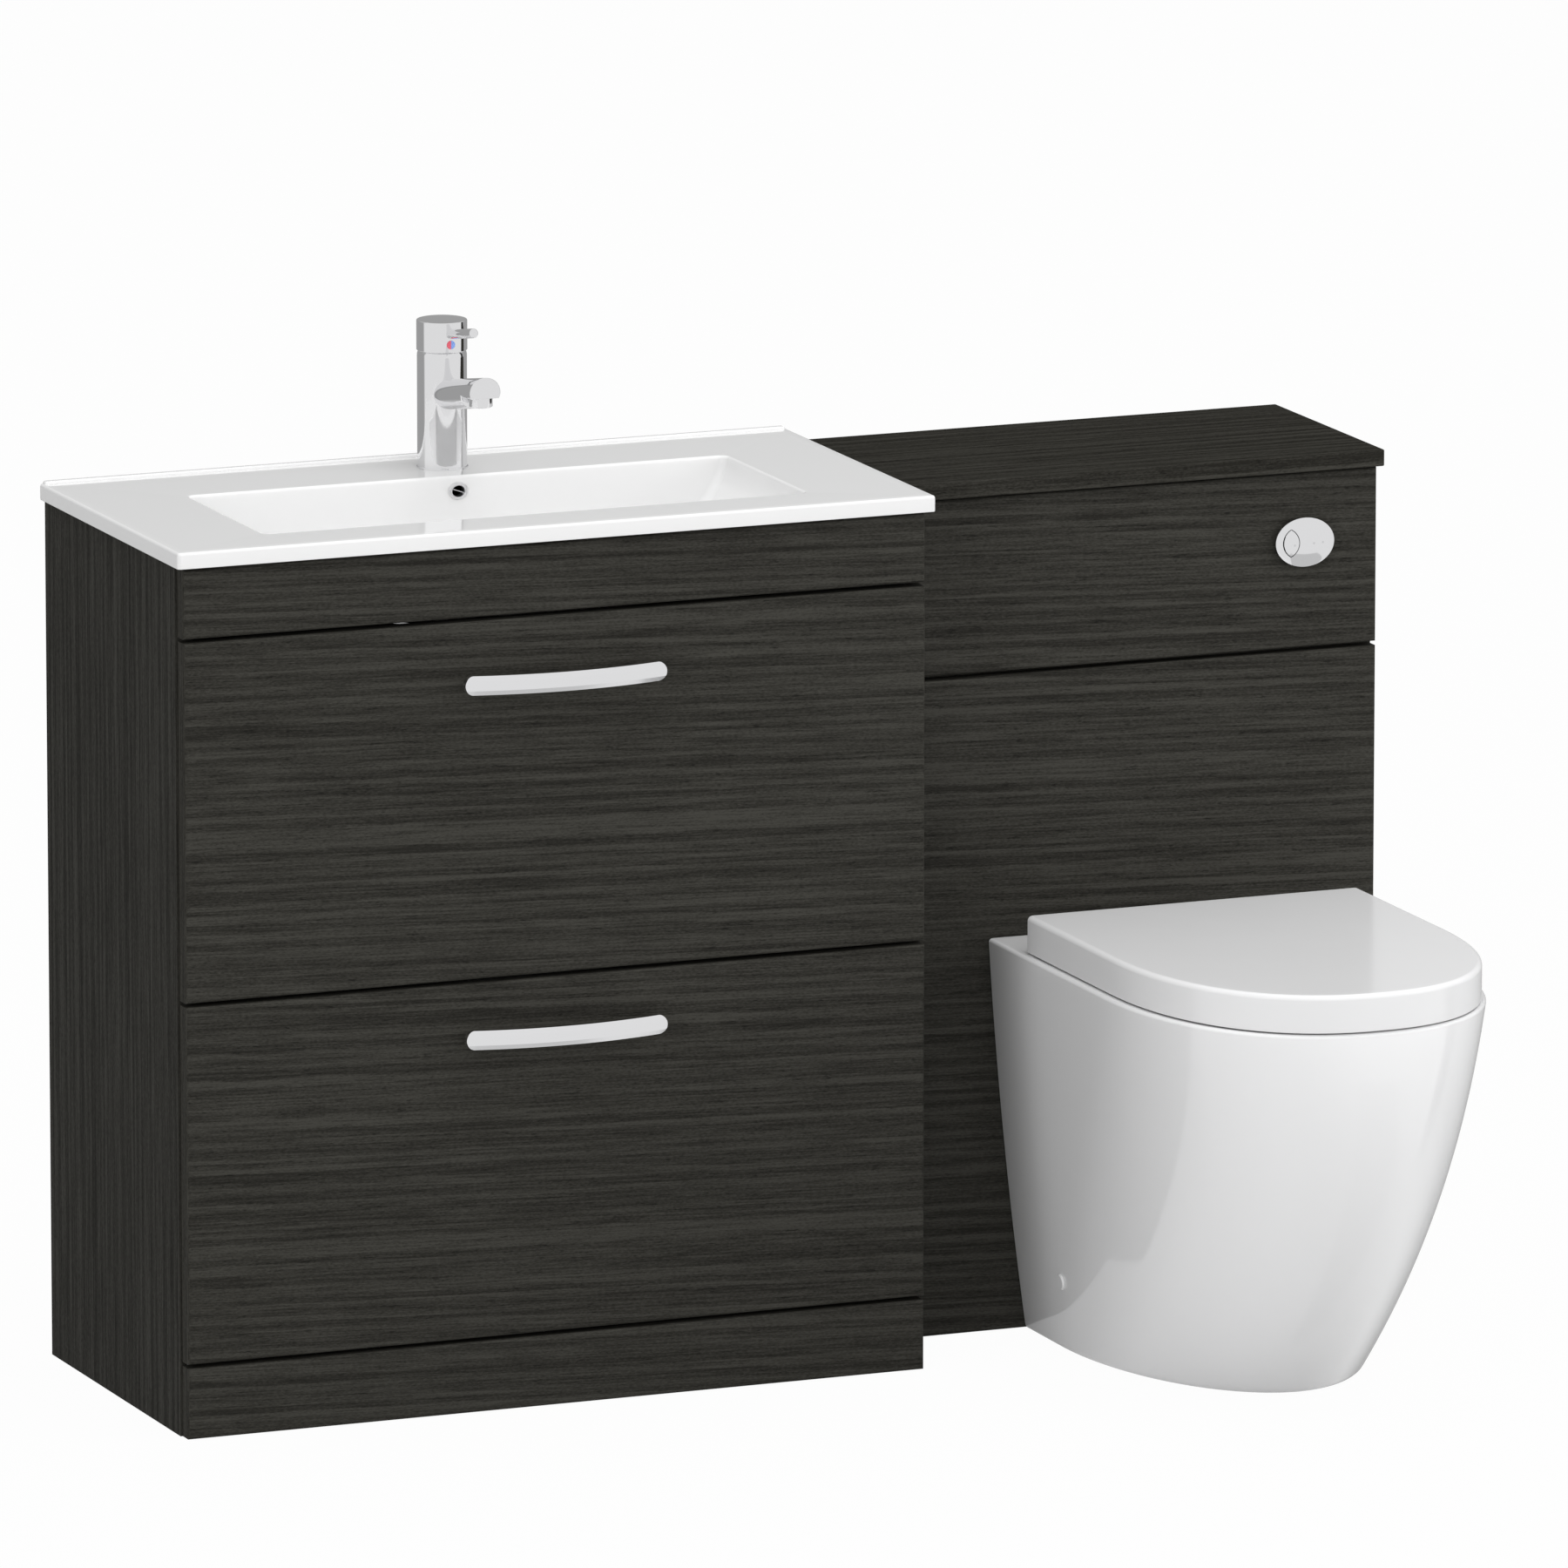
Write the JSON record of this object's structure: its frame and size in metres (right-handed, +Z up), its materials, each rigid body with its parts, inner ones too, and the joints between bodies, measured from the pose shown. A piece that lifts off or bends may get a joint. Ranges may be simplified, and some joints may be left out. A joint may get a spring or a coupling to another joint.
{
  "type": "toilet and basin combination unit",
  "caption": "Bathroom unit with two bow-handled drawers under an inset basin and lever tap, joined to a slim cistern unit with a back-to-wall toilet, soft D-shaped lid and oval flush plate.",
  "frame": {"origin": "centre of the bounding box's bottom face, on the floor", "axes": "+X to the viewer's right along the wall (basin to toilet), -Y out of the front, +Y into the wall, +Z up"},
  "size_m": [1.363, 0.8234, 1.0609],
  "materials": {
    "grey_wood": "satin",
    "white_board": "satin",
    "basin_ceramic": "gloss",
    "pan_ceramic": "gloss",
    "seat_plastic": "gloss",
    "chrome": "polished",
    "steel": "satin",
    "side_metal": "matt",
    "white_plastic": "matt",
    "blue_plastic": "matt",
    "rubber": "matt",
    "mark": "gloss"
  },
  "bodies": {
    "unit": {"vanity_left_gable": "grey_wood", "vanity_right_gable": "grey_wood", "vanity_floor": "grey_wood", "vanity_rails": "grey_wood", "fascia_panel": "grey_wood", "plinth": "grey_wood", "runner_rails": "steel", "wall_brackets": "steel", "basin": "basin_ceramic", "overflow_ring": "chrome", "waste_body": "chrome", "waste_backnut": "rubber", "bottle_trap": "chrome", "tap_body": "chrome", "tap_aerator": "chrome", "tap_cartridge": "white_plastic", "tap_fixing": "steel", "wc_left_gable": "grey_wood", "wc_right_gable": "grey_wood", "wc_top": "grey_wood", "wc_upper_panel": "grey_wood", "wc_lower_panel": "grey_wood", "wc_rails": "grey_wood", "cistern_tank": "white_plastic", "cistern_lid": "white_plastic", "fill_valve": "white_plastic", "flush_valve": "white_plastic", "flush_pipe": "white_plastic", "button_collar": "chrome", "pan": "pan_ceramic", "pan_connector": "rubber", "pan_fixings": "steel", "side_caps": "white_plastic", "seat_hinges": "chrome"},
    "upper_drawer": {"upper_drawer_front": "grey_wood", "upper_drawer_sides": "side_metal", "upper_drawer_back": "white_board", "upper_drawer_base": "white_board", "upper_handle": "chrome", "upper_handle_screws": "steel"},
    "upper_links": {"upper_slide_links": "steel"},
    "lower_drawer": {"lower_drawer_front": "grey_wood", "lower_drawer_sides": "side_metal", "lower_drawer_back": "white_board", "lower_drawer_base": "white_board", "lower_handle": "chrome", "lower_handle_screws": "steel"},
    "lower_links": {"lower_slide_links": "steel"},
    "plug": {"waste_plug": "chrome"},
    "tap_rotor": {"cartridge_rotor": "white_plastic"},
    "tap_handle": {"tap_cap": "chrome", "tap_lever": "chrome", "tap_indicator": "mark"},
    "float": {"float_cup": "blue_plastic"},
    "flush_core": {"flush_core": "blue_plastic"},
    "full_flush": {"full_flush_button": "chrome"},
    "half_flush": {"half_flush_button": "chrome"},
    "seat": {"seat": "seat_plastic", "seat_buffers": "rubber"},
    "lid": {"lid": "seat_plastic"}
  },
  "joints": [
    {"name": "upper_drawer_slide", "type": "slide", "parent": "unit", "child": "upper_drawer", "axis": [0, -1, 0], "range_m": [0, 0.3]},
    {"name": "upper_links_slide", "type": "slide", "parent": "unit", "child": "upper_links", "axis": [0, -1, 0], "range_m": [0, 0.15]},
    {"name": "lower_drawer_slide", "type": "slide", "parent": "unit", "child": "lower_drawer", "axis": [0, -1, 0], "range_m": [0, 0.3]},
    {"name": "lower_links_slide", "type": "slide", "parent": "unit", "child": "lower_links", "axis": [0, -1, 0], "range_m": [0, 0.15]},
    {"name": "tap_swivel", "type": "hinge", "parent": "unit", "child": "tap_rotor", "pos_m": [-0.2726, 0.34175, 1.012], "axis": [0, 0, 1], "range_deg": [-45, 45]},
    {"name": "tap_lift", "type": "hinge", "parent": "tap_rotor", "child": "tap_handle", "pos_m": [-0.2726, 0.34175, 1.012], "axis": [-1, 0, 0], "range_deg": [0, 20]},
    {"name": "plug_lift", "type": "slide", "parent": "unit", "child": "plug", "axis": [0, 0, 1], "range_m": [0, 0.008]},
    {"name": "float_rise", "type": "slide", "parent": "unit", "child": "float", "axis": [0, 0, 1], "range_m": [0, 0.09]},
    {"name": "full_flush_press", "type": "slide", "parent": "unit", "child": "full_flush", "axis": [0, 1, 0], "range_m": [0, 0.0035], "stiffness_N_per_m": 900, "springref_m": -0.003},
    {"name": "half_flush_press", "type": "slide", "parent": "unit", "child": "half_flush", "axis": [0, 1, 0], "range_m": [0, 0.0035], "stiffness_N_per_m": 600, "springref_m": -0.003},
    {"name": "flush_core_lift", "type": "slide", "parent": "unit", "child": "flush_core", "axis": [0, 0, 1], "range_m": [0, 0.0175]},
    {"name": "seat_hinge", "type": "hinge", "parent": "unit", "child": "seat", "pos_m": [0.437, 0.08075, 0.424], "axis": [1, 0, 0], "range_deg": [-92, 0]},
    {"name": "lid_hinge", "type": "hinge", "parent": "seat", "child": "lid", "pos_m": [0.437, 0.08075, 0.424], "axis": [-1, 0, 0], "range_deg": [0, 92]}
  ],
  "couplings": [
    {"joint": "upper_links_slide", "follows": "upper_drawer_slide", "ratio": 0.5},
    {"joint": "lower_links_slide", "follows": "lower_drawer_slide", "ratio": 0.5},
    {"joint": "flush_core_lift", "follows": "full_flush_press", "ratio": 5}
  ]
}
